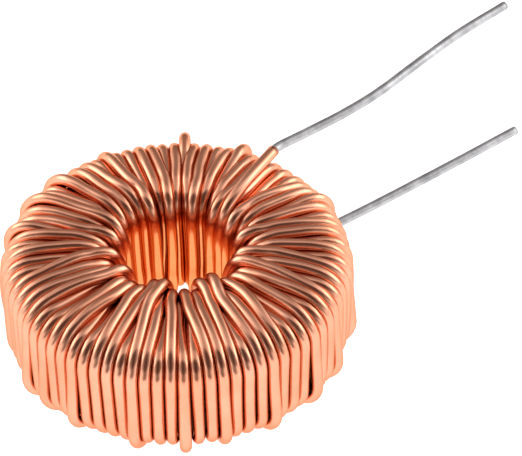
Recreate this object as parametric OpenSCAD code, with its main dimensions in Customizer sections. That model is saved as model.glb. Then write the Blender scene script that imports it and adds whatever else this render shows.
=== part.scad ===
// Toroidal inductor: a pressed powder ring wound with one length of enamelled
// copper wire, whose two ends leave side by side as straight tinned leads.
// Units are mm, +Z is up and the ring's own axis is the Z axis.

/* [Core] */
// Outside diameter of the powder ring
core_od = 26.9; // [20:0.1:40]
// Diameter of the hole through the powder ring
core_id = 14.5; // [12:0.1:20]
// Height of the powder ring
core_h = 7.9; // [4:0.1:14]

/* [Winding] */
// Diameter of the wire over its enamel
wire_d = 1.0; // [0.5:0.05:1.2]
// Number of turns, in steps of four, or as many as fit if that is fewer
turns = 80; // [40:4:100]
// Bend of the wire's centre line round an edge of the ring
bend_r = 2.0; // [1.2:0.1:2.4]
// How far the loosest turns stand off the rest
loose = 0.7; // [0:0.1:1.5]
// Free space between the wire and the ring
slack = 0.08; // [0.02:0.01:0.2]

/* [Leads] */
// Diameter of a tinned lead
lead_d = 0.85; // [0.4:0.05:1.1]
// Direction from the axis to the place where the lower lead starts
lead_place = 46.5; // [0:0.5:359.5]
// Length of the upper lead
upper_len = 30; // [15:1:60]
// Turn of the upper lead away from straight out
upper_turn = -13; // [-20:1:20]
// Bend in the upper lead, one way and back again
upper_wave = 8; // [1:1:15]
// Length of the lower lead
lower_len = 27; // [15:1:60]
// Turn of the lower lead away from straight out
lower_turn = -9; // [-20:1:20]

/* [Hidden] */
$fn = 24;

wire_r = wire_d / 2;
lead_r = lead_d / 2;
// Each straight run of wire is a hair thinner than the bends it enters.
rod_r = wire_r - 0.01;
reach = 0.06;

side_r = core_od / 2 + wire_r + slack;
hole_r = core_id / 2 - wire_r - slack;
low_z = core_h / 2 + wire_r + slack;
edge_r = bend_r - wire_r - slack;

// As many turns as fit side by side down the outside, and as every other one
// does in the hole, with a hair of space between them
apart = 1.01 * wire_d;
most = min(180 / asin(apart / 2 / side_r), 360 / asin(apart / 2 / hole_r));
count = min(turns, 4 * floor(most / 4));
pitch = 360 / count;
// How far a wire stands off the two it rests on
nest = 1.02 * wire_d;
lift = hole_r - hole_r * cos(pitch) + sqrt(nest * nest - pow(hole_r * sin(pitch), 2));
high_z = low_z + lift;

copper = [0.85, 0.5, 0.35];
tin = [0.78, 0.79, 0.8];
powder = [0.32, 0.3, 0.28];

// Layer in the hole: every other turn lies on the ring, the rest lie on those.
function layer(k) = (k % 2 == 0) ? 0 : ((k % 4 == 1) ? 1 : 2);
function inner_r(k) = hole_r - lift * layer(k);
function inner_bend(k) = (layer(k) == 0) ? bend_r : bend_r + lift;
function loose_by(k) = (k % 9 == 4) ? loose : ((k % 5 == 1) ? loose * 0.4 : 0);
function base_z(k) = (layer(k) == 0) ? low_z : high_z;
function top_z(k) = base_z(k) + (layer(k) == 0 ? 0 : loose_by(k) * 0.6);
function outer_r(k) = side_r + loose_by(k);

function spot(r, a, z) = [r * cos(a), r * sin(a), z];
function unit(v) = v / norm(v);
function heading(a) = [cos(a), sin(a), 0];
function place(k) = lead_place + pitch * (k + 1);

// Where the enamelled wire ends and each tinned lead starts. The upper end
// lies over the first turn, in the groove beside the second.
last = count - 1;
cross_z = high_z + lift;
upper_place = lead_place + 1.35 * pitch;
upper_from = spot(inner_r(last), place(last - 0.5), cross_z);
upper_root = spot(side_r - 0.8 * wire_d, upper_place, cross_z);
lower_from = spot(inner_r(0), place(-0.5), -low_z);
lower_root = spot(side_r, lead_place, -low_z);
upper_way = unit(upper_root - upper_from);
lower_way = unit(lower_root - lower_from);
// Each lead starts a hair past the end of the enamel, so the two only meet
tin_gap = 0.01;
// Straight on past the turns on either side, then off at its own angle
clear_len = 1.2 * wire_d;

// Corners of the wire's path with the bend at each: in under the ring, up
// through the hole, out over the ring and down its side, turn after turn.
function hole_part(k) = [
    [spot(inner_r(k), place(k - 0.5), -base_z(k)), inner_bend(k)],
    [spot(inner_r(k), place(k - 0.5), top_z(k)), inner_bend(k)]
];
function side_part(k) = [
    [spot(outer_r(k), place(k), top_z(k)), bend_r],
    [spot(outer_r(k), place(k), -base_z(k + 1)), bend_r]
];
function last_part() = [
    [spot(inner_r(last), place(last - 0.5), -base_z(last)), inner_bend(last)],
    [upper_from, inner_bend(last)],
    [upper_root, 0]
];
wire_path = concat(
    [[lower_root, 0]],
    [for (k = [0 : last - 1]) each concat(hole_part(k), side_part(k))],
    last_part()
);

// Straight run from a to b, running on by past at each end
module rod(a, b, r, past_a, past_b) {
    d = b - a;
    l = norm(d);
    translate(a)
    rotate([0, acos(d[2] / l), atan2(d[1], d[0])])
    translate([0, 0, -past_a])
    cylinder(r = r, h = l + past_a + past_b);
}

// Bend that starts at a, going along u, and ends going along v
module bend(a, u, v, b, turn, r) {
    mid = a + b * unit(v - u * (u * v));
    x = unit(a - mid);
    z = cross(x, u);
    multmatrix([
        [x[0], u[0], z[0], mid[0]],
        [x[1], u[1], z[1], mid[1]],
        [x[2], u[2], z[2], mid[2]],
        [0, 0, 0, 1]
    ])
    rotate_extrude(angle = turn)
    translate([b, 0])
    circle(r = r);
}

// Round wire along a list of corners
module wire(path, rod_radius, bend_radius) {
    n = len(path);
    way = [for (i = [0 : n - 2]) unit(path[i + 1][0] - path[i][0])];
    turn = [for (i = [0 : n - 1]) (i == 0 || i == n - 1) ? 0 : acos(way[i - 1] * way[i])];
    arm = [for (i = [0 : n - 1]) path[i][1] * tan(turn[i] / 2)];
    for (i = [0 : n - 2]) {
        rod(
            path[i][0] + way[i] * arm[i],
            path[i + 1][0] - way[i] * arm[i + 1],
            rod_radius,
            i == 0 ? 0 : reach,
            i == n - 2 ? 0 : reach
        );
    }
    for (i = [1 : n - 2]) {
        bend(path[i][0] - way[i - 1] * arm[i], way[i - 1], way[i], path[i][1], turn[i], bend_radius);
    }
}

module core() {
    x0 = core_id / 2;
    x1 = core_od / 2;
    z1 = core_h / 2;
    // Rounded edge on all four corners of the ring's section
    function corner(x, z, from) = [
        for (s = [0 : 5]) [x + edge_r * cos(from + 18 * s), z + edge_r * sin(from + 18 * s)]
    ];
    color(powder)
    rotate_extrude($fn = 96)
    polygon(concat(
        corner(x1 - edge_r, z1 - edge_r, 0),
        corner(x0 + edge_r, z1 - edge_r, 90),
        corner(x0 + edge_r, edge_r - z1, 180),
        corner(x1 - edge_r, edge_r - z1, 270)
    ));
}

module winding() {
    color(copper)
    wire(wire_path, rod_r, wire_r);
}

module lead_upper() {
    aim = upper_place + upper_turn;
    free = upper_len - clear_len;
    out = upper_root + clear_len * upper_way;
    near = out + 0.25 * free * heading(aim);
    far = near + 0.52 * free * heading(aim + upper_wave);
    tip = far + 0.23 * free * heading(aim + upper_wave * 0.25);
    soft = 8 * lead_d;
    color(tin)
    wire(
        [
            [upper_root + tin_gap * upper_way, 0],
            [out, 4 * lead_d],
            [near, soft],
            [far, soft],
            [tip, 0]
        ],
        lead_r,
        lead_r + 0.01
    );
}

module lead_lower() {
    out = lower_root + clear_len * lower_way;
    tip = out + (lower_len - clear_len) * heading(lead_place + lower_turn);
    color(tin)
    wire(
        [
            [lower_root + tin_gap * lower_way, 0],
            [out, 4 * lead_d],
            [tip, 0]
        ],
        lead_r,
        lead_r + 0.01
    );
}

core();
winding();
lead_upper();
lead_lower();
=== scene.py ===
import bpy
import math
import random
import numpy as np
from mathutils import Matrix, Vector


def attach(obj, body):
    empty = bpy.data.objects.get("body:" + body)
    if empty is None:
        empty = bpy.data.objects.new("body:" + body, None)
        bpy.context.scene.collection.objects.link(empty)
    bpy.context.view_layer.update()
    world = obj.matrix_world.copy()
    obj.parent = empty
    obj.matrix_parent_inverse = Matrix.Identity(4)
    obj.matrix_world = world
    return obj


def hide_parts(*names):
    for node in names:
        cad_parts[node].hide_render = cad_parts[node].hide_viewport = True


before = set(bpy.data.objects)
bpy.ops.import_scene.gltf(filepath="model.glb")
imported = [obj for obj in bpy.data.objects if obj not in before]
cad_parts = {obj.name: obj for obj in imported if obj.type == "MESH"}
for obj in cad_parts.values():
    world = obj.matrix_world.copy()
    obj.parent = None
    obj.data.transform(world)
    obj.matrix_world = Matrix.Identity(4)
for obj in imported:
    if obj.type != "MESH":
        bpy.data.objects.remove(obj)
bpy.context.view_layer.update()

mm = 0.001
print("frame loaded, nodes:", sorted(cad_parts))

studio = {
    "cameraHeightAngle": 42.5,     # degrees above the floor
    "cameraDistance": 224.5,       # mm from what it looks at
    "lookAt": (6.96, 7.6, 0.0),    # mm, between the ring and the leads
    "lens": 179.4,
    "sensor": 36,
    "clipping": (0.01, 20),        # m
    "sideWalls": 1.65,             # brightness of the lit cloth left and right
    "roof": 0.37,                  # and of the gap between them overhead
    "wallEdge": (0.22, 0.85),      # how far to the side the gap ends and the cloth is fully lit
    "opening": 0.26,               # share of light left in the opening at the front
    "openingWide": 5.0,            # how many times wider than high it is
    "openingTowards": (0.0, -0.566, 0.824),
    "openingEdge": (0.84, 0.95),   # cosine of the angle off its middle where it begins and is darkest
    "lowWalls": 0.72,              # share of light near the floor
    "lowEdge": (0.02, 0.40),       # heights between which the walls come to full light
    "clothColour": (1.0, 0.99, 0.98, 1),
    "dimColour": (1.0, 0.62, 0.54, 1),
    "dimBelow": 0.5,               # brightness under which the cloth takes on that colour
    "floorColour": (0.5, 0.5, 0.5, 1),
    "floorRoughness": 0.9,
    "floorGlow": 1.15,
    "floorReach": 3.0,             # m from the middle to each edge
    # place and size in mm, power in W
    "lights": {
        "leftBox": ((-330, 120, 150), (260, 200), 0.22),
        "rightBox": ((330, 120, 150), (260, 200), 0.22),
        "topBox": ((0, 40, 330), (460, 200), 0.10),
    },
}


def feed(tree, node, values):
    # each value is a socket to join, or a number or colour to set
    for name, value in values.items():
        if isinstance(value, bpy.types.NodeSocket):
            tree.links.new(value, node.inputs[name])
        else:
            node.inputs[name].default_value = value
    return node


def calc(tree, operation, *values):
    node = tree.nodes.new("ShaderNodeMath")
    node.operation = operation
    return feed(tree, node, dict(enumerate(values))).outputs[0]


def vectorCalc(tree, operation, *values):
    node = tree.nodes.new("ShaderNodeVectorMath")
    node.operation = operation
    feed(tree, node, dict(enumerate(values)))
    return node.outputs["Value" if operation in ("LENGTH", "DOT_PRODUCT") else "Vector"]


def mapRange(tree, value, given=(0.0, 1.0), wanted=(0.0, 1.0), smooth=False):
    # turns values in the given range into the wanted one
    node = tree.nodes.new("ShaderNodeMapRange")
    if smooth:
        node.interpolation_type = "SMOOTHSTEP"
    feed(tree, node, {"Value": value, "From Min": given[0], "From Max": given[1]})
    feed(tree, node, {"To Min": wanted[0], "To Max": wanted[1]})
    return node.outputs["Result"]


def blendColours(tree, mask, low, high):
    mix = tree.nodes.new("ShaderNodeMix")
    mix.data_type = "RGBA"
    return feed(tree, mix, {"Factor": mask, "A": low, "B": high}).outputs["Result"]


def addCamera(studio):
    data = bpy.data.cameras.new("camera")
    camera = bpy.data.objects.new("camera", data)
    bpy.context.scene.collection.objects.link(camera)
    data.lens = studio["lens"]
    data.sensor_width = studio["sensor"]
    data.clip_start, data.clip_end = studio["clipping"]
    angle = math.radians(studio["cameraHeightAngle"])
    away = Vector((0, -math.cos(angle), math.sin(angle)))
    camera.location = Vector(studio["lookAt"]) * mm + away * studio["cameraDistance"] * mm
    camera.rotation_euler = (-away).to_track_quat("-Z", "Y").to_euler()
    bpy.context.scene.camera = camera


def addRoom(studio):
    # a cloth tent lit from both sides, dim overhead, with a dark opening high at the front
    world = bpy.data.worlds.new("lightTent")
    bpy.context.scene.world = world
    world.use_nodes = True
    tree = world.node_tree
    towards = tree.nodes.new("ShaderNodeTexCoord").outputs["Generated"]
    split = feed(tree, tree.nodes.new("ShaderNodeSeparateXYZ"), {0: towards}).outputs
    sideways = calc(tree, "ABSOLUTE", split["X"])
    walls = mapRange(tree, sideways, studio["wallEdge"], (studio["roof"], studio["sideWalls"]), smooth=True)
    squeezed = vectorCalc(tree, "MULTIPLY", towards, (1 / studio["openingWide"], 1.0, 1.0))
    even = vectorCalc(tree, "NORMALIZE", squeezed)
    middle = vectorCalc(tree, "DOT_PRODUCT", even, studio["openingTowards"])
    opening = mapRange(tree, middle, studio["openingEdge"], (1.0, studio["opening"]), smooth=True)
    low = mapRange(tree, split["Z"], studio["lowEdge"], (studio["lowWalls"], 1.0), smooth=True)
    light = calc(tree, "MULTIPLY", calc(tree, "MULTIPLY", walls, opening), low)
    warm = mapRange(tree, light, (0.0, studio["dimBelow"]))
    colour = blendColours(tree, warm, studio["dimColour"], studio["clothColour"])
    feed(tree, tree.nodes["Background"], {"Strength": light, "Color": colour})


def addSoftLight(name, place, size, power):
    data = bpy.data.lights.new(name, "AREA")
    data.shape = "RECTANGLE"
    data.size = size[0] * mm
    data.size_y = size[1] * mm
    data.energy = power
    light = bpy.data.objects.new(name, data)
    bpy.context.scene.collection.objects.link(light)
    light.location = Vector(place) * mm
    light.rotation_euler = (-light.location).to_track_quat("-Z", "Y").to_euler()


def addFloor(studio, height):
    far = studio["floorReach"]
    corners = [(-far, -far, height), (far, -far, height), (far, far, height), (-far, far, height)]
    mesh = bpy.data.meshes.new("floor")
    mesh.from_pydata(corners, [], [(0, 1, 2, 3)])
    floor = bpy.data.objects.new("floor", mesh)
    bpy.context.scene.collection.objects.link(floor)
    mat = bpy.data.materials.new("paleFloor")
    mat.use_nodes = True
    feed(mat.node_tree, mat.node_tree.nodes["Principled BSDF"], {
        "Base Color": studio["floorColour"],
        "Roughness": studio["floorRoughness"],
        "Emission Color": (1, 1, 1, 1),
        "Emission Strength": studio["floorGlow"],
    })
    mesh.materials.append(mat)


addCamera(studio)
addRoom(studio)
for name, (place, size, power) in studio["lights"].items():
    addSoftLight(name, place, size, power)
print("camera and lights ready")

# A turn starts half way up the outside, goes down and in under the ring, up
# through the hole and out over the top. Shares of a turn are counted so.
winding = {
    "turns": 80,
    "wire": 1.03,              # mm over the enamel
    "ringOutside": 26.9,
    "ringInside": 14.5,
    "ringHeight": 7.9,
    "ringEdge": 1.42,
    "slack": 0.08,
    "startAngle": 46.5,        # degrees, where the lower end leaves
    "startRadius": 14.03,
    "startHeight": -4.53,
    "startAt": 0.16,           # share of the first turn where it starts
    "startRun": 0.10,          # and how much of it is the straight run in under the ring
    "startHeld": 4,            # points that stay where they are beside the lead
    "endAngle": 52.575,        # degrees, where the upper end leaves
    "endRadius": 13.23,
    "endHeight": 6.32,
    "endAt": 0.84,             # share of the last turn where it ends
    "endRun": 0.34,            # and how much of it lies over the rest, and stays there
    # that run's way there: mm from the axis, degrees short of the end, mm up
    "endWay": [(4.95, 8.0, 0.4), (4.95, 7.8, 3.0), (5.9, 6.6, 5.3), (8.2, 3.8, 6.2), (11.0, 1.3, 6.32)],
    "crowding": -2.2,          # degrees the turns crowd to the front and back
    "steps": 72,               # points along one turn
    "sides": 16,
    "seed": 7,
    # shares of a turn at its corners, and how far round the ring it has moved on by then
    "corners": (0.0, 0.14, 0.40, 0.60, 0.86, 1.0),
    "movedOn": (0.0, 0.02, 0.48, 0.52, 0.98, 1.0),
    "handJitter": 0.30,        # share of a turn's width that each turn strays
    "holeJitter": 1.5,         # times as much of it in the hole
    "groupDrift": 0.5,         # and what a few neighbours drift together
    "closeUp": 0.62,           # how far the first and last turns close up to each other
    "closeUpTurns": 3,         # over how many it dies away
    "closeUpEase": 0.5,        # and the share of the first turn over which it begins
    "closeUnder": 0.45,        # how far the turns under a loose one close up
    "depths": (0, 1, 0, 2, 1, 0, 1, 2, 0, 1),   # layer of each turn in the hole, over and over
    "swaps": 0.35,             # share of turns that swap layers with the next
    "holeDepth": 0.86,         # mm each layer stands further into the hole
    "topRise": 0.62,           # mm the upper wires stand over the lower on top and below
    "holeLean": 0.9,           # mm they lean into the hole high up at the front
    "backLean": 0.6,           # share of that which they lean in low down at the back
    # where along a turn: middle, half of its full part, and the part that fades
    "holeSpan": (0.5, 0.15, 0.11),
    "topSpan": (0.72, 0.06, 0.12),
    "underSpan": (0.28, 0.06, 0.12),
    "backSpan": (0.35, 0.03, 0.08),
    "frontSpan": (0.61, 0.03, 0.09),
    "firstLift": 1.05,         # a raised point starts this many times as far off
    "sideLoose": 0.26,         # mm that turns stand off the ring at its left and right
    "sideSpan": 0.15,          # share of a turn over which they do
    # turns that stand off the rest: degrees round the ring, mm, and where
    "looseTurns": [
        (91, 1.0, "top"), (67, 0.7, "top"), (119, 0.3, "top"), (141, 0.5, "top"), (153, 0.6, "top"),
        (170, 0.5, "top"), (29, 0.4, "top"), (179, 0.3, "side"), (4, 0.25, "side"), (-7, 0.5, "bottom"),
        (-24, 0.5, "bottom"), (-38, 0.5, "bottom"), (-57, 0.5, "bottom"), (-74, 0.4, "bottom"),
        (-88, 0.7, "bottom"), (-103, 0.5, "bottom"), (-123, 0.45, "bottom"), (-137, 0.4, "bottom"),
        (-149, 0.5, "bottom"),
    ],
    "looseAt": {"bottom": 0.12, "side": 0.0, "top": -0.14},   # share of a turn below the side's middle
    "looseSpan": 0.12,
    "settle": 240,             # rounds of settling
    "pushRounds": 2,           # times that touching wires are pushed apart in each
    "straighten": 0.25,        # how much it straightens between its neighbours in a round
    "stiffness": 0.06,         # and over a few points
    "stiffOver": 4,            # how many points that is
    "pull": 0.12,              # share of the way that tension draws it back to the ring
    "pullFrom": 0.6,           # mm, from where it draws no harder
    "pushMost": 0.10,          # mm it may be pushed out in a round
    "shareOut": 0.7,           # how far several pushes on one point are shared out
    "pressTurns": 6,           # neighbours on one side that can press on a turn
    "pressPoints": 3,          # and how many points off they may do it
    "tableGap": 0.9,           # wires that fit between the ring and the table under the first
}


def sectionPoint(share, halfWide, halfHigh, corner):
    # point on a rounded section, at a share of the way round it
    flat = halfWide - corner
    tall = halfHigh - corner
    bend = math.pi * corner / 2
    legs = [tall, bend, 2 * flat, bend, 2 * tall, bend, 2 * flat, bend, tall]
    left = share * sum(legs)
    leg = 0
    while leg < 8 and left > legs[leg]:
        left -= legs[leg]
        leg += 1
    sine = corner * math.sin(left / corner)
    cosine = corner * math.cos(left / corner)
    return [
        (flat + corner, -left),
        (flat + cosine, -tall - sine),
        (flat - left, -tall - corner),
        (-flat - sine, -tall - cosine),
        (-flat - corner, -tall + left),
        (-flat - cosine, tall + sine),
        (-flat + left, tall + corner),
        (flat + sine, tall + cosine),
        (flat + corner, tall - left),
    ][leg]


def ringSection(winding):
    return {
        "middle": (winding["ringOutside"] + winding["ringInside"]) / 4,
        "halfWide": (winding["ringOutside"] - winding["ringInside"]) / 4,
        "halfHigh": winding["ringHeight"] / 2,
        "edge": winding["ringEdge"],
        "off": winding["wire"] / 2 + winding["slack"],   # from the ring to the wire's centre line
    }


def sectionDistance(radius, height, ring):
    # distance from the ring's section and the way out of it
    across = radius - ring["middle"]
    pastWide = np.abs(across) - (ring["halfWide"] - ring["edge"])
    pastHigh = np.abs(height) - (ring["halfHigh"] - ring["edge"])
    outWide = np.maximum(pastWide, 0)
    outHigh = np.maximum(pastHigh, 0)
    away = np.sqrt(outWide * outWide + outHigh * outHigh)
    inside = np.minimum(np.maximum(pastWide, pastHigh), 0)
    distance = away + inside - ring["edge"]
    safe = np.maximum(away, 1e-9)
    wayOut = np.where(away > 1e-6, outWide / safe, (pastWide > pastHigh).astype(float)) * np.sign(across)
    wayUp = np.where(away > 1e-6, outHigh / safe, (pastWide <= pastHigh).astype(float)) * np.sign(height)
    return distance, wayOut, wayUp


def hump(share, span):
    # 1 near the middle of the span, falling to 0 on both sides
    middle, half, soft = span
    rise = (half + soft - abs(share - middle)) / soft
    rise = min(max(rise, 0.0), 1.0)
    return rise * rise * (3 - 2 * rise)


def crowd(winding, angle):
    # the turns crowd to the front and back, and the first one stays put
    here = math.sin(math.radians(2 * angle + 180))
    atStart = math.sin(math.radians(2 * winding["startAngle"] + 180))
    return angle + winding["crowding"] * (here - atStart)


def turnDepths(winding, rng):
    # layer of each turn in the hole, with the odd pair swapped as hands do
    turns = winding["turns"]
    pattern = winding["depths"]
    depth = [pattern[turn % len(pattern)] for turn in range(turns + 2)]
    for turn in range(2, turns - 4):
        if rng.random() < winding["swaps"]:
            depth[turn], depth[turn + 1] = depth[turn + 1], depth[turn]
    depth[0] = 0
    depth[turns - 1] = 2
    return depth


def strays(winding, rng, size, group):
    # each turn strays by itself, and a few neighbours drift together
    turns = winding["turns"]
    width = 360 / turns
    pattern = (1, 2, 3, 2, 1)
    free = [rng.uniform(-1, 1) for _ in range(turns + 8)]
    drift = [sum(free[turn + j] * pattern[j] for j in range(5)) / 4 for turn in range(turns + 2)]
    return [(rng.uniform(-size, size) + drift[turn] * group) * width for turn in range(turns + 2)]


def loosenTurns(winding, topEdge, bottomEdge):
    # finds the loose turns, and closes up the turns on both sides under each
    turns = winding["turns"]
    width = 360 / turns
    angles = [crowd(winding, winding["startAngle"] + width * (turn + 1)) for turn in range(turns - 1)]
    loose = {}
    for angle, size, where in winding["looseTurns"]:
        nearest = min(range(turns - 1), key=lambda turn: abs((angles[turn] - angle + 180) % 360 - 180))
        loose[nearest] = (size, winding["looseAt"][where])
        if where == "bottom":
            edge = bottomEdge
            at = nearest + 1
        else:
            edge = topEdge
            at = nearest
        for away in (1, 2, 3):
            close = winding["closeUnder"] * width * (1 - away / 4)
            edge[max(at - away, 0)] += close
            edge[min(at + away, turns + 1)] -= close
    return loose


def layTurns(winding, ring):
    # a first lay of the wire, and how far off the ring each of its points belongs
    rng = random.Random(winding["seed"])
    turns = winding["turns"]
    width = 360 / turns
    depth = turnDepths(winding, rng)
    bottomEdge = strays(winding, rng, winding["handJitter"], 0.0)
    inHole = winding["handJitter"] * winding["holeJitter"]
    holeLow = strays(winding, rng, inHole, winding["groupDrift"])
    holeHigh = strays(winding, rng, inHole, winding["groupDrift"])
    topEdge = strays(winding, rng, winding["handJitter"], winding["groupDrift"])
    bottomEdge[0] = 0
    sideStand = [rng.random() for _ in range(turns + 1)]
    loose = loosenTurns(winding, topEdge, bottomEdge)

    start = winding["startAt"]
    end = turns - 1 + winding["endAt"]
    count = int(round((end - start) * winding["steps"])) + 1
    along = start + np.arange(count) / winding["steps"]
    path = np.zeros((count, 3))
    want = np.full(count, ring["off"])
    for i in range(count):
        turn = int(along[i])
        share = along[i] - turn
        # the wire moves on round the ring mostly over the top and the bottom
        place = turn + np.interp(share, winding["corners"], winding["movedOn"])
        before = (topEdge[turn - 1] + bottomEdge[turn]) / 2
        after = (topEdge[turn] + bottomEdge[turn + 1]) / 2
        atCorners = [before, bottomEdge[turn], holeLow[turn], holeHigh[turn], topEdge[turn], after]
        stray = np.interp(share, winding["corners"], atCorners)
        # the first and last turns close up to each other
        easeIn = min(1.0, (along[i] - start) / winding["closeUpEase"])
        closing = math.exp(-(turns - 1 - place) / winding["closeUpTurns"])
        closing -= math.exp(-place / winding["closeUpTurns"]) * easeIn
        even = winding["startAngle"] + width * (place + winding["closeUp"] * closing)
        angle = math.radians(crowd(winding, even) + stray)
        # upper wires ride over the lower ones, most of all in the hole
        raised = winding["holeDepth"] * depth[turn] * hump(share, winding["holeSpan"])
        if depth[turn]:
            for span in ("topSpan", "underSpan"):
                raised = max(raised, winding["topRise"] * hump(share, winding[span]))
        # they lean into the hole, low down at the back and high up at the front
        back = math.sin(angle)
        if back > 0:
            raised += winding["backLean"] * winding["holeLean"] * back * hump(share, winding["backSpan"])
        else:
            raised -= winding["holeLean"] * back * hump(share, winding["frontSpan"])
        want[i] += raised
        out, up = sectionPoint(
            share, ring["halfWide"] + ring["off"], ring["halfHigh"] + ring["off"], ring["edge"] + ring["off"])
        _, wayOut, wayUp = sectionDistance(np.array([out + ring["middle"]]), np.array([up]), ring)
        radius = ring["middle"] + (out + wayOut[0] * raised * winding["firstLift"])
        up += wayUp[0] * raised * winding["firstLift"]
        path[i] = (radius * math.cos(angle), radius * math.sin(angle), up)
        # left and right of the ring the turns stand off a little, and loose turns where they are loose
        side = turn if share > 0.5 else turn - 1
        fromSide = (share if share > 0.5 else share + 1) - 1
        leftOrRight = math.cos(angle) ** 2
        standOff = math.exp(-(fromSide / winding["sideSpan"]) ** 2)
        want[i] += winding["sideLoose"] * sideStand[side] * leftOrRight * standOff
        if side in loose:
            size, at = loose[side]
            want[i] += size * math.exp(-((fromSide - at) / winding["looseSpan"]) ** 2)
    return path, want


def layEnds(winding, path):
    # the first run comes straight in under the ring from the lower lead
    head = int(round(winding["startRun"] * winding["steps"]))
    innerRadius = math.hypot(path[head, 0], path[head, 1])
    innerAngle = math.atan2(path[head, 1], path[head, 0])
    for i in range(head):
        angle = innerAngle * i / head + math.radians(winding["startAngle"]) * (1 - i / head)
        radius = winding["startRadius"] + (innerRadius - winding["startRadius"]) * i / head
        path[i] = (radius * math.cos(angle), radius * math.sin(angle), winding["startHeight"])
    # the last run lies over the rest and leaves at the rim
    tail = int(round(winding["endRun"] * winding["steps"]))
    stops = []
    for radius, short, height in winding["endWay"] + [(winding["endRadius"], 0.0, winding["endHeight"])]:
        angle = math.radians(winding["endAngle"] - short)
        stops.append((radius * math.cos(angle), radius * math.sin(angle), height))
    line = curveThrough(stops, spacing=0.05)
    reach = lengthAlong(line)
    evenly = np.linspace(0, reach[-1], tail)
    for axis in range(3):
        path[-tail:, axis] = np.interp(evenly, reach, line[:, axis])
    pinned = np.zeros(len(path), bool)
    pinned[-tail:] = True
    pinned[:winding["startHeld"]] = True
    return pinned


def pushApart(winding, path, offsets):
    # wires can't pass through each other
    wire = winding["wire"]
    shift = np.zeros_like(path)
    pushes = np.zeros(len(path))
    for offset in offsets:
        gapWay = path[offset:] - path[:-offset]
        gaps = np.sqrt((gapWay * gapWay).sum(1))
        touching = np.nonzero(gaps < wire)[0]
        if len(touching) == 0:
            continue
        gap = gaps[touching]
        part = gapWay[touching] * ((wire - gap) / np.maximum(gap, 1e-6) * 0.5)[:, None]
        np.add.at(shift, touching, -part)
        np.add.at(shift, touching + offset, part)
        np.add.at(pushes, touching, 1)
        np.add.at(pushes, touching + offset, 1)
    path += shift / (np.maximum(pushes, 1) ** winding["shareOut"])[:, None]


def settleWire(winding, ring, path, want, pinned):
    kept = path.copy()
    turns = winding["turns"]
    steps = winding["steps"]
    near = range(-winding["pressPoints"], winding["pressPoints"] + 1)
    offsets = [turn * steps + point for turn in range(1, winding["pressTurns"] + 1) for point in near]
    # the last turns lie beside the first
    offsets += [(turns - turn) * steps + point for turn in range(-1, 4) for point in near]
    offsets = [offset for offset in offsets if offset < len(path)]
    lowest = -(ring["halfHigh"] + ring["off"] + winding["tableGap"] * winding["wire"])

    def fromRing():
        radius = np.hypot(path[:, 0], path[:, 1])
        distance, wayOut, wayUp = sectionDistance(radius, path[:, 2], ring)
        return distance, np.stack([wayOut * path[:, 0] / radius, wayOut * path[:, 1] / radius, wayUp], 1)

    far = winding["stiffOver"]
    for _ in range(winding["settle"]):
        # stiff wire under tension: each point goes part of the way to its neighbours' middle
        path[1:-1] += ((path[:-2] + path[2:]) / 2 - path[1:-1]) * winding["straighten"]
        middle = (path[:-2 * far] + path[2 * far:]) / 2
        path[far:-far] += (middle - path[far:-far]) * winding["stiffness"]
        distance, way = fromRing()
        pull = -winding["pull"] * np.minimum(distance - want, winding["pullFrom"])
        push = np.minimum(want - distance, winding["pushMost"])
        pull = np.where(distance > want, pull, 0)
        push = np.where(distance < want, push, 0)
        path += way * (pull + push)[:, None]
        for _ in range(winding["pushRounds"]):
            pushApart(winding, path, offsets)
            path[pinned] = kept[pinned]
        # nothing sinks into the ring or through the table
        distance, way = fromRing()
        path += way * np.maximum(ring["off"] - distance, 0)[:, None]
        path[:, 2] = np.maximum(path[:, 2], lowest)
        path[pinned] = kept[pinned]


def curveThrough(points, spacing=0.35):
    # smooth line through a few points
    points = np.asarray(points, float)
    longer = np.vstack([2 * points[0] - points[1], points, 2 * points[-1] - points[-2]])
    line = []
    for i in range(1, len(longer) - 2):
        p0, p1, p2, p3 = longer[i - 1:i + 3]
        slope = p2 - p0
        bend = 2 * p0 - 5 * p1 + 4 * p2 - p3
        sway = 3 * p1 - p0 - 3 * p2 + p3
        count = max(2, int(np.linalg.norm(p2 - p1) / spacing))
        for step in range(count):
            t = step / count
            line.append(0.5 * (2 * p1 + slope * t + bend * t * t + sway * t ** 3))
    line.append(longer[-2])
    return np.array(line)


def lengthAlong(path):
    return np.concatenate([[0], np.cumsum(np.linalg.norm(np.diff(path, axis=0), axis=1))])


def sidesAlong(path):
    # a pair of directions across the path that don't twist along it
    tangent = np.gradient(path, axis=0)
    tangent /= np.linalg.norm(tangent, axis=1)[:, None]
    side = np.zeros_like(path)
    first = np.cross(tangent[0], (0.0, 0.0, 1.0))
    if np.linalg.norm(first) < 1e-3:
        first = np.cross(tangent[0], (1.0, 0.0, 0.0))
    side[0] = first / np.linalg.norm(first)
    for i in range(1, len(path)):
        across = side[i - 1] - tangent[i] * side[i - 1].dot(tangent[i])
        side[i] = across / np.linalg.norm(across)
    return side, np.cross(tangent, side)


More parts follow.
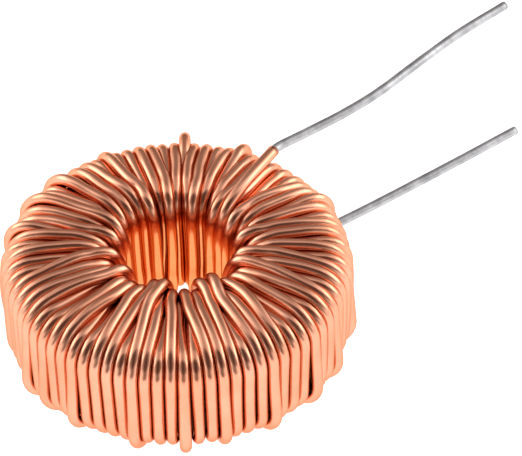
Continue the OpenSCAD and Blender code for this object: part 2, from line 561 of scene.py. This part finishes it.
def makeWire(name, path, width, sides):
    # a round wire along a path in mm, with its length and girth as a UV map
    count = len(path)
    radius = width / 2
    side, up = sidesAlong(path)
    angle = (np.arange(sides) * 2 * math.pi / sides)[None, :, None]
    ring = np.cos(angle) * side[:, None, :] + np.sin(angle) * up[:, None, :]
    verts = (path[:, None, :] + ring * radius).reshape(-1, 3)
    here = np.arange(count - 1)[:, None] * sides
    first = np.arange(sides)[None, :]
    second = (first + 1) % sides
    quads = np.stack([here + first, here + second, here + sides + second, here + sides + first], axis=-1)
    faces = [tuple(int(corner) for corner in quad) for quad in quads.reshape(-1, 4)]
    faces.append(tuple(range(sides))[::-1])
    faces.append(tuple((count - 1) * sides + corner for corner in range(sides)))
    mesh = bpy.data.meshes.new(name)
    mesh.from_pydata([tuple(vert) for vert in verts * mm], [], faces)

    uvPerMm = 0.1
    length = lengthAlong(path) * uvPerMm
    girth = np.arange(sides + 1) * (math.pi * width / sides * uvPerMm)
    uv = np.zeros((len(mesh.loops), 2), np.float32)
    quadLoops = (count - 1) * sides * 4
    for corner, (ahead, beside) in enumerate(((0, 0), (0, 1), (1, 1), (1, 0))):
        uv[corner:quadLoops:4, 0] = np.repeat(length[ahead:count - 1 + ahead], sides)
        uv[corner:quadLoops:4, 1] = np.tile(girth[beside:sides + beside], count - 1)
    mesh.uv_layers.new(name="UVMap").data.foreach_set("uv", uv.ravel())
    mesh.polygons.foreach_set("use_smooth", [True] * (len(faces) - 2) + [False] * 2)
    mesh.update()
    wire = bpy.data.objects.new(name, mesh)
    bpy.context.scene.collection.objects.link(wire)
    return wire


ring = ringSection(winding)
wirePath, offRing = layTurns(winding, ring)
pinned = layEnds(winding, wirePath)
settleWire(winding, ring, wirePath, offRing, pinned)
heights = wirePath[:, 2]
print("wire settled:", len(wirePath), "points, height", heights.min().round(2), heights.max().round(2))
coil = makeWire("coil", wirePath, winding["wire"], winding["sides"])
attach(coil, "root")
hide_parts("winding")

leads = {
    "width": 0.83,
    "sides": 20,
    # mm, from the end of the enamel out to the cut end
    "upper": [(8.04, 10.5, 6.32), (8.5, 11.1, 6.3), (11.0, 13.1, 6.2), (14.3, 15.7, 6.2), (17.3, 18.5, 6.2),
              (21.3, 23.0, 6.2), (24.9, 26.9, 6.2), (29.2, 30.9, 6.2)],
    "lower": [(9.66, 10.18, -4.5), (10.3, 10.7, -4.5), (16.5, 15.1, -4.5), (24.5, 21.2, -4.5),
              (30.5, 25.9, -4.5)],
}
leadTop = makeWire("leadTop", curveThrough(leads["upper"]), leads["width"], leads["sides"])
leadBottom = makeWire("leadBottom", curveThrough(leads["lower"]), leads["width"], leads["sides"])
for piece, node in ((leadTop, "lead_upper"), (leadBottom, "lead_lower")):
    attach(piece, "root")
    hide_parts(node)
print("leads ready")

copperWire = {
    "bright": (0.84, 0.40, 0.265, 1),
    "deep": (0.77, 0.32, 0.185, 1),
    # painted reflection: a deeper orange for the copper mirrored in copper down in the hole
    "inHole": (0.84, 0.32, 0.115, 1),
    "holeEdge": (5.2, 7.2),              # mm from the axis over which that painted reflection fades out
    "holeTop": (2.0, 4.6),               # mm above the middle over which it does
    "roughness": (0.17, 0.27),
    "enamel": (0.05, 0.3),
    "enamelRoughness": 0.10,
    "enamelIor": 1.55,
    "edgeTint": (0.72, 0.45, 0.32, 1),   # keeps the wire coppery where it turns away
    "marks": {"Line Scale": 45.0, "Line Length": 0.03, "Cloud Scale": 260.0},
    "lineShare": 0.35,                   # of the lines in the bumps, beside the clouds
    "bump": (0.35, 0.02),                # strength, depth in mm
}
tinnedWire = {
    "bright": (0.56, 0.56, 0.575, 1),
    "deep": (0.32, 0.32, 0.33, 1),
    "roughness": (0.3, 0.5),
    "marks": {"Line Scale": 30.0, "Line Length": 0.08, "Cloud Scale": 700.0},
    "bump": (0.5, 0.05),
}
ironPowder = {
    "light": (0.34, 0.17, 0.09, 1),
    "dark": (0.14, 0.065, 0.035, 1),
    "roughness": (0.6, 0.9),
    "marks": {"Grain Scale": 4000.0},
    "bump": (0.6, 0.05),
}


def newGroup(name, numbersIn, masksOut):
    group = bpy.data.node_groups.new(name, "ShaderNodeTree")
    for title, value in numbersIn.items():
        entry = group.interface.new_socket(name=title, in_out="INPUT", socket_type="NodeSocketFloat")
        entry.default_value = value
    for title in masksOut:
        group.interface.new_socket(name=title, in_out="OUTPUT", socket_type="NodeSocketFloat")
    return group, group.nodes.new("NodeGroupInput").outputs, group.nodes.new("NodeGroupOutput")


def noise(tree, place, scale, detail):
    node = tree.nodes.new("ShaderNodeTexNoise")
    return feed(tree, node, {"Vector": place, "Scale": scale, "Detail": detail}).outputs["Fac"]


def makeDrawnGroup():
    # fine lines that a drawing die leaves along a wire, and slow cloudy changes
    usual = {"Line Scale": 60.0, "Line Length": 0.02, "Cloud Scale": 300.0}
    group, given, result = newGroup("drawnSurface", usual, ("Lines", "Clouds"))
    coord = group.nodes.new("ShaderNodeTexCoord").outputs
    stretch = feed(group, group.nodes.new("ShaderNodeCombineXYZ"), {"X": given["Line Length"], "Y": 1.0})
    along = vectorCalc(group, "MULTIPLY", coord["UV"], stretch.outputs[0])
    lines = noise(group, along, given["Line Scale"], 3.0)
    clouds = noise(group, coord["Object"], given["Cloud Scale"], 4.0)
    contrast = (0.3, 0.7)
    feed(group, result, {
        "Lines": mapRange(group, lines, contrast),
        "Clouds": mapRange(group, clouds, contrast),
    })
    return group


def makeGrainGroup():
    # small specks and pits
    group, given, result = newGroup("fineGrain", {"Grain Scale": 3000.0}, ("Grain",))
    place = group.nodes.new("ShaderNodeTexCoord").outputs["Object"]
    feed(group, result, {"Grain": noise(group, place, given["Grain Scale"], 2.0)})
    return group


drawnGroup = makeDrawnGroup()
grainGroup = makeGrainGroup()


def newMaterial(name, group, marks):
    mat = bpy.data.materials.new(name)
    mat.use_nodes = True
    tree = mat.node_tree
    node = tree.nodes.new("ShaderNodeGroup")
    node.node_tree = group
    feed(tree, node, marks)
    return mat, tree, tree.nodes["Principled BSDF"], node.outputs


def bump(tree, height, strength, depth):
    node = tree.nodes.new("ShaderNodeBump")
    feed(tree, node, {"Height": height, "Strength": strength, "Distance": depth * mm})
    return node.outputs["Normal"]


def outOfHoleReflection(tree, copper):
    # 0 down in the hole, where the reflection is painted, 1 outside it and towards its top
    place = tree.nodes.new("ShaderNodeTexCoord").outputs["Object"]
    fromAxis = vectorCalc(tree, "LENGTH", vectorCalc(tree, "MULTIPLY", place, (1, 1, 0)))
    height = feed(tree, tree.nodes.new("ShaderNodeSeparateXYZ"), {0: place}).outputs["Z"]
    outward = mapRange(tree, fromAxis, [edge * mm for edge in copper["holeEdge"]], smooth=True)
    upward = mapRange(tree, height, [edge * mm for edge in copper["holeTop"]], smooth=True)
    return calc(tree, "MAXIMUM", outward, upward)


def makeCopper(copper):
    mat, tree, shader, drawn = newMaterial("enamelledCopper", drawnGroup, copper["marks"])
    # painted reflection: a deeper orange down in the hole stands for the copper mirrored in copper there
    outside = blendColours(tree, drawn["Clouds"], copper["bright"], copper["deep"])
    height = calc(tree, "MULTIPLY_ADD", drawn["Lines"], copper["lineShare"], drawn["Clouds"])
    feed(tree, shader, {
        "Metallic": 1,
        "Coat Roughness": copper["enamelRoughness"],
        "Coat IOR": copper["enamelIor"],
        "Specular Tint": copper["edgeTint"],
        "Base Color": blendColours(tree, outOfHoleReflection(tree, copper), copper["inHole"], outside),
        "Roughness": mapRange(tree, drawn["Lines"], wanted=copper["roughness"]),
        "Coat Weight": mapRange(tree, drawn["Clouds"], wanted=copper["enamel"]),
        "Normal": bump(tree, height, *copper["bump"]),
    })
    return mat


def makeTin(tin):
    mat, tree, shader, drawn = newMaterial("tinnedCopper", drawnGroup, tin["marks"])
    feed(tree, shader, {
        "Metallic": 1,
        "Base Color": blendColours(tree, drawn["Clouds"], tin["bright"], tin["deep"]),
        "Roughness": mapRange(tree, drawn["Lines"], wanted=tin["roughness"]),
        "Normal": bump(tree, drawn["Clouds"], *tin["bump"]),
    })
    return mat


def makePowder(powder):
    mat, tree, shader, specks = newMaterial("pressedPowder", grainGroup, powder["marks"])
    feed(tree, shader, {
        "Base Color": blendColours(tree, specks["Grain"], powder["dark"], powder["light"]),
        "Roughness": mapRange(tree, specks["Grain"], wanted=powder["roughness"]),
        "Normal": bump(tree, specks["Grain"], *powder["bump"]),
    })
    return mat


coil.data.materials.append(makeCopper(copperWire))
tinned = makeTin(tinnedWire)
leadTop.data.materials.append(tinned)
leadBottom.data.materials.append(tinned)
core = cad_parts["core"]
core.data.materials.clear()
core.data.materials.append(makePowder(ironPowder))
print("finishes ready")

addFloor(studio, min((coil.matrix_world @ vert.co).z for vert in coil.data.vertices))
bpy.context.scene.view_settings.view_transform = "Standard"
bpy.context.scene.view_settings.look = "None"

bpy.context.view_layer.update()
